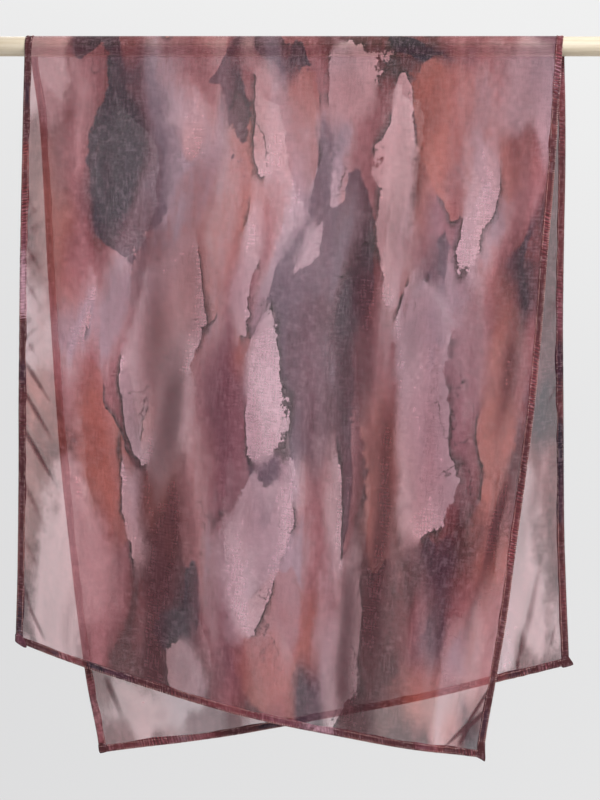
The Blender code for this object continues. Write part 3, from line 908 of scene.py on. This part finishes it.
hem = {
    # the turned hem's section in mm: inwards from the edge, out from the cloth's middle
    "section": [(9.2, -0.10), (9.0, 0.32), (7.8, 0.52), (5.4, 0.40), (2.8, 0.54), (0.6, 0.42), (-0.3, 0.0),
                (0.6, -0.40), (3.0, -0.46), (6.4, -0.44), (8.9, -0.42)],
    "footRise": 1.45,  # the foot hem lies over the ends of the side hems
    "ringPitch": 0.0011,
    "ropePitch": 0.0043,  # the ripples that stitching twists into a hem
    "ropeHeight": 0.00022,
    "ropeSlant": 0.55,
    "unevenWidth": 0.20,
    "calmEnd": 0.02,  # the share at each end that stays flat
    "widthNoise": 34,  # how fast the width, the twist and the ripples change along the hem
    "twistNoise": 11,
    "rippleNoise": 60,
    "rippleWidth": 0.8,
    "rippleDye": 0.012,  # how far a ripple shifts the dye, and how much painted light and shade it puts on the hem
    "paintedRippleShade": 0.40,
    "overhang": {"front": (0.0012, 0.0015), "back": (0.0, 0.0)},  # past the side edges
}


# the dye along each hem: plum, rust and pale as the strokes have them, then tone and hue
hemDyes = {"wine": (-30, -30, -30, 0.04, 0.40), "charcoal": (24, -30, -30, 0.02, 0.5),
           "rust": (-30, 7, -30, 0.26, 0.4), "rose": (-30, -30, -30, 0.38, 0.40),
           "pink": (-30, -30, 0, 0.60, 0.30), "mauve": (-30, -30, 5, 0.52, 0.78),
           "dusk": (-30, -30, -30, 0.36, 0.85)}
# each hem's dyes: the hundredth of the way along, and the dye there
hemRuns = {
    "front_left": "0 rust, 8 charcoal, 20 rust, 27 rose, 33 mauve, 45 mauve, 47 wine, 55 charcoal, "
                  "64 wine, 71 rose, 86 rose, 90 wine, 94 charcoal, 100 charcoal",
    "front_right": "0 rose, 5 mauve, 8 rust, 22 rust, 27 rose, 38 wine, 48 rose, 60 rust, 72 rose, "
                   "79 wine, 90 wine, 95 charcoal, 100 wine",
    "front_foot": "0 charcoal, 3 rose, 7 rose, 8.5 charcoal, 10 pink, 14 rose, 16 charcoal, 24 charcoal, "
                  "27 wine, 37 rose, 44 rose, 56 mauve, 67 mauve, 75 rose, 83 wine, 87 mauve, 93 wine, "
                  "100 rose",
    "back_left": "0 charcoal, 34 charcoal, 40 mauve, 50 pink, 56 wine, 64 charcoal, 86 charcoal, "
                 "88.5 wine, 90 pink, 98 pink, 100 wine",
    "back_right": "0 mauve, 15 rose, 30 rose, 45 mauve, 49 charcoal, 53 charcoal, 57 rose, 63 charcoal, "
                  "76 charcoal, 80 wine, 90 rose, 100 wine",
    "back_foot": "0 wine, 2 rose, 9 rust, 13 rose, 17 mauve, 22 pink, 28 wine, 36 charcoal, 80 charcoal, "
                 "83 wine, 86 rose, 88.5 charcoal, 90 charcoal, 91.5 rose, 95 wine, 97 mauve, 100 wine",
    "turn_left": "0 rust, 100 wine",
    "turn_right": "0 rose, 100 mauve",
}


def hemDyeAt(runs, share):
    stops = [stop.split() for stop in runs.split(", ")]
    places = [float(place) / 100 for place, _ in stops]
    values = np.array([hemDyes[name] for _, name in stops], dtype=float)
    return np.stack([np.interp(share, places, values[:, part]) for part in range(5)], axis=-1)


def edgeLength(stretch, edge):
    if stretch["drop"] is None:
        return cloth["turnLength"]
    run = np.linspace(0, 1, 200)
    across, along = edgePlace(stretch, edge, run, 0 * run)
    points = stretch["point"](across, along)
    return float(np.linalg.norm(np.diff(points, axis=0), axis=1).sum())


def edgePlace(stretch, edge, run, inwards):
    # shares across and down the cloth of a place that lies inwards from one of its edges
    if edge == "foot":
        return run + 0 * inwards, 1 - inwards / fallAt(stretch["drop"], run)
    width = stretch["point"](1 + 0 * run, run)[..., 0] - stretch["point"](0 * run, run)[..., 0]
    share = inwards / width
    return (share if edge == "left" else 1 - share), run + 0 * inwards


def lineNoise(values, scale, seed):
    return np.array([noise.noise(Vector((value * scale, seed, 0.5))) for value in values])


def makeHem(label, edge, seed):
    # a flattened tube round the cloth's edge, a little uneven in width and twisted by its stitching
    stretch = stretches[label]
    length = edgeLength(stretch, edge)
    rings = max(24, int(length / hem["ringPitch"]))
    start, end, rise = 0.0, 1.0, 1.0
    if edge == "foot":
        before, after = hem["overhang"][label]
        start, end, rise = -before / cloth["width"], 1 + after / cloth["width"], hem["footRise"]
    run = np.linspace(start, end, rings)
    reach = run * length
    section = np.array(hem["section"]) * mm
    turns = section[:, 0] / cloth["hemWidth"]
    calm = smoothStep(run / hem["calmEnd"]) * smoothStep((1 - run) / hem["calmEnd"])
    if label == "turn":
        calm = 0 * run
    widths = 1 + calm * hem["unevenWidth"] * lineNoise(reach, hem["widthNoise"], seed)
    twist = 0.5 + 1.5 * smoothStep((lineNoise(reach, hem["twistNoise"], seed + 5) + 0.15) / 0.4)
    phase = reach / hem["ropePitch"] + 0.6 * lineNoise(reach, hem["rippleNoise"], seed + 9)
    phases = 2 * math.pi * (phase[:, None] + hem["ropeSlant"] * turns)
    ropes = np.sin(phases) * (calm * twist)[:, None] * hem["ropeHeight"] * np.sign(section[:, 1])
    innerHalf = section[:, 0] > 0.005
    inwards = section[:, 0] * widths[:, None] + hem["rippleWidth"] * np.abs(ropes) * innerHalf
    runs = np.repeat(run[:, None], len(section), axis=1)
    across, along = edgePlace(stretch, edge, runs, inwards)
    points = surfaceAt(stretch, across, along, section[:, 1] * rise + ropes)
    faces = gridFaces(rings, len(section), joined=True)
    last = (rings - 1) * len(section)
    faces.append(tuple(range(len(section))))
    faces.append(tuple(range(last + len(section) - 1, last - 1, -1)))
    ripple = ropes / hem["ropeHeight"]
    shares = np.clip(runs, 0, 1) + hem["rippleDye"] * ripple
    dyed = hemDyeAt(hemRuns[f"{label}_{edge}"], shares.ravel())
    flat = flatAt(stretch, across, along)
    name = f"{label}{edge.capitalize()}Hem"
    # the hem's ripples get painted light on their crests and painted shade in their hollows
    piece = addClothMesh(name, points, flat, faces, hemCloth, 0.5 + hem["paintedRippleShade"] * ripple, dyed)
    faceOutwards(piece)
    standFor(piece, [f"{label}_{edge}_hem"])
    return piece


stitch = {
    "pitch": 0.0025,
    "radius": 0.00034,
    "jitter": 0.16,
    "jitterNoise": 400,
    # each stitch's path: shares of the pitch along the edge, then mm inwards and mm out
    "loop": [(-0.22, 3.1, 0.42), (-0.10, 1.4, 0.80), (0.0, -0.62, 0.05), (0.10, 1.2, -0.66),
             (0.22, 3.0, -0.36)],
    "outerRow": [(-0.40, 7.2, 0.34), (-0.20, 7.5, 0.80), (0.20, 8.2, 0.80), (0.40, 8.5, 0.30)],
    "innerRow": [(-0.40, 7.2, -0.34), (-0.20, 7.5, -0.68), (0.20, 8.2, -0.68), (0.40, 8.5, -0.34)],
}


def threadMesh(paths, radius):
    # a short pointed strand of thread along each path
    ahead = np.gradient(paths, axis=1)
    ahead /= np.linalg.norm(ahead, axis=-1, keepdims=True)
    upright = np.array([0.31, 0.83, 0.46])
    aside = np.cross(ahead, upright)
    aside /= np.linalg.norm(aside, axis=-1, keepdims=True)
    above = np.cross(aside, ahead)
    count, places = paths.shape[:2]
    turns = math.pi / 2 * np.arange(4)[:, None]
    spokes = aside[:, 1:-1, None] * np.cos(turns) + above[:, 1:-1, None] * np.sin(turns)
    rings = (paths[:, 1:-1, None] + radius * spokes).reshape(count, -1, 3)
    points = np.concatenate([paths[:, :1], rings, paths[:, -1:]], axis=1)
    each, faces = points.shape[1], closedFaces(places - 2, 4)
    return points.reshape(-1, 3), [tuple(corner + each * strand for corner in face)
                                   for strand in range(count) for face in faces]


def makeStitches(label, seed):
    stretch = stretches[label]
    points, faces = np.zeros((0, 3)), []
    for edge in stretch["hemmed"]:
        length = edgeLength(stretch, edge)
        count = int(length / stitch["pitch"])
        rise = hem["footRise"] if edge == "foot" else 1.0
        where = (np.arange(count) + 0.5) / count
        jitter = stitch["jitter"] * lineNoise(where * length, stitch["jitterNoise"], seed)
        for path in ("loop", "outerRow", "innerRow"):
            shares, inwards, lifts = np.array(stitch[path]).T
            runs = np.clip(where[:, None] + (shares + jitter[:, None]) / count, 0.0, 1.0)
            inwards = inwards * mm * (1 + 0.5 * jitter[:, None])
            across, along = edgePlace(stretch, edge, runs, inwards)
            paths = surfaceAt(stretch, across, along, lifts * mm * rise + 0 * runs)
            newPoints, newFaces = threadMesh(paths, stitch["radius"])
            faces += [tuple(corner + len(points) for corner in face) for face in newFaces]
            points = np.concatenate([points, newPoints])
    piece = addMesh(label + "Stitches", points, faces, thread)
    faceOutwards(piece)
    standFor(piece, [])
    return piece


# the folded ends of the hems in mm from each corner of the cloth: to the right, down
corners = {
    "frontRightEar": ("front", 1, "wine", [(-8, -20), (0.4, -21), (1.4, -11), (3.6, 4.4), (1.5, 5.0),
                                           (-3, 2.4), (-9, 0.4), (-9, -8)]),
    "frontLeftTab": ("front", 0, "dusk", [(0.6, -11.5), (5, -11), (11, -8), (14.6, 0.5), (14, 3.6),
                                          (9, 4.2), (-1.0, 1.4), (-1.4, -1)]),
    "backRightEar": ("back", 1, "wine", [(-4.6, -15), (-2.4, -15), (1.6, -8), (6.4, 0.6), (5.6, 2.6),
                                         (-2, 3.0), (-9.5, 2.6), (-9.5, -3)]),
    "backLeftMitre": ("back", 0, "wine", [(-0.9, -13), (8, -12.5), (11, -4), (10.5, 0.4), (4, 1.4),
                                          (-0.9, 1.2)]),
}
# each ring of a flap: its share of the outline's size, and how far it puffs out
flap = {"lift": 0.0002, "thickness": 0.0017, "puff": 0.0004,
        "rings": [(1, 0), (0.90, 0.55), (0.62, 0.9), (0.30, 1), (0, 1)]}


def roundOutline(outline):
    following = np.roll(outline, -1, axis=0)
    cut = np.stack([outline * 0.75 + following * 0.25, outline * 0.25 + following * 0.75], axis=1)
    return cut.reshape(-1, 2)


def makeCorner(name, label, side, dyeName, outline):
    # a small puffed flap where the cloth's edge is folded under twice
    stretch = stretches[label]
    drop = stretch["drop"]
    outer = roundOutline(np.array(outline, dtype=float) * mm)
    middle = outer.mean(axis=0)
    half = flap["thickness"] / 2
    layers = []
    for face in (1, -1):
        for share, puff in flap["rings"][::face]:
            places = middle + (outer - middle) * share
            across = side + places[:, 0] / np.diff(drop["edges"][-1])[0]
            along = 1 + places[:, 1] / fallAt(drop, side)
            out = half * 0.5 + half * 0.5 * min(1.0, 2 * puff) + flap["puff"] * puff
            layers.append(surfaceAt(stretch, across, along, flap["lift"] + face * out + 0 * across))
    # the middle rings are single points, so each side closes as a fan
    rows = len(flap["rings"]) - 1
    above, below = layers[:rows], layers[rows + 2:]
    points = np.concatenate([layers[rows][:1]] + above[::-1] + below[::-1] + [layers[rows + 1][:1]])
    faces = closedFaces(2 * rows, len(outer))
    offX, offZ = points[:, 0] - points[0, 0], points[:, 2] - points[0, 2]
    flatPlaces = flatAt(stretch, side + 0 * offX, 1 + 0 * offX) + np.stack([offX, -offZ], axis=-1)
    dyed = np.repeat(np.array([hemDyes[dyeName]], dtype=float), len(points), axis=0)
    piece = addClothMesh(name, points, flatPlaces, faces, hemCloth, None, dyed)
    faceOutwards(piece)
    standFor(piece, [])
    return piece


rodSize = {"radius": 0.0130, "length": 0.860, "sides": 96}


def makeRod():
    bpy.ops.mesh.primitive_cylinder_add(vertices=rodSize["sides"], radius=rodSize["radius"],
                                        depth=rodSize["length"], rotation=(0, math.pi / 2, 0))
    rod = bpy.context.object
    rod.name = "rodWood"
    bpy.ops.object.transform_apply(location=True, rotation=True, scale=True)
    bpy.ops.object.shade_smooth_by_angle(angle=math.radians(35))
    rod.data.materials.append(wood)
    standFor(rod, ["rod"])


makeRod()
panels = {
    "front": makeStretch("front", "frontDrop", "front_drop", cloth["rows"]),
    "turn": makeStretch("turn", "rodTurn", "rod_turn", cloth["turnRows"]),
    "back": makeStretch("back", "backDrop", "back_drop", cloth["rows"]),
}
print("rod and cloth made")

trims = {}
for number, (label, stretch) in enumerate(stretches.items()):
    trims[label] = [makeStitches(label, 40 + number)]
    for edge in stretch["hemmed"]:
        trims[label].append(makeHem(label, edge, 7.0 * number + len(edge)))
for name, (label, side, dyeName, outline) in corners.items():
    trims[label].append(makeCorner(name, label, side, dyeName, outline))
print("hems, stitches and corners made")
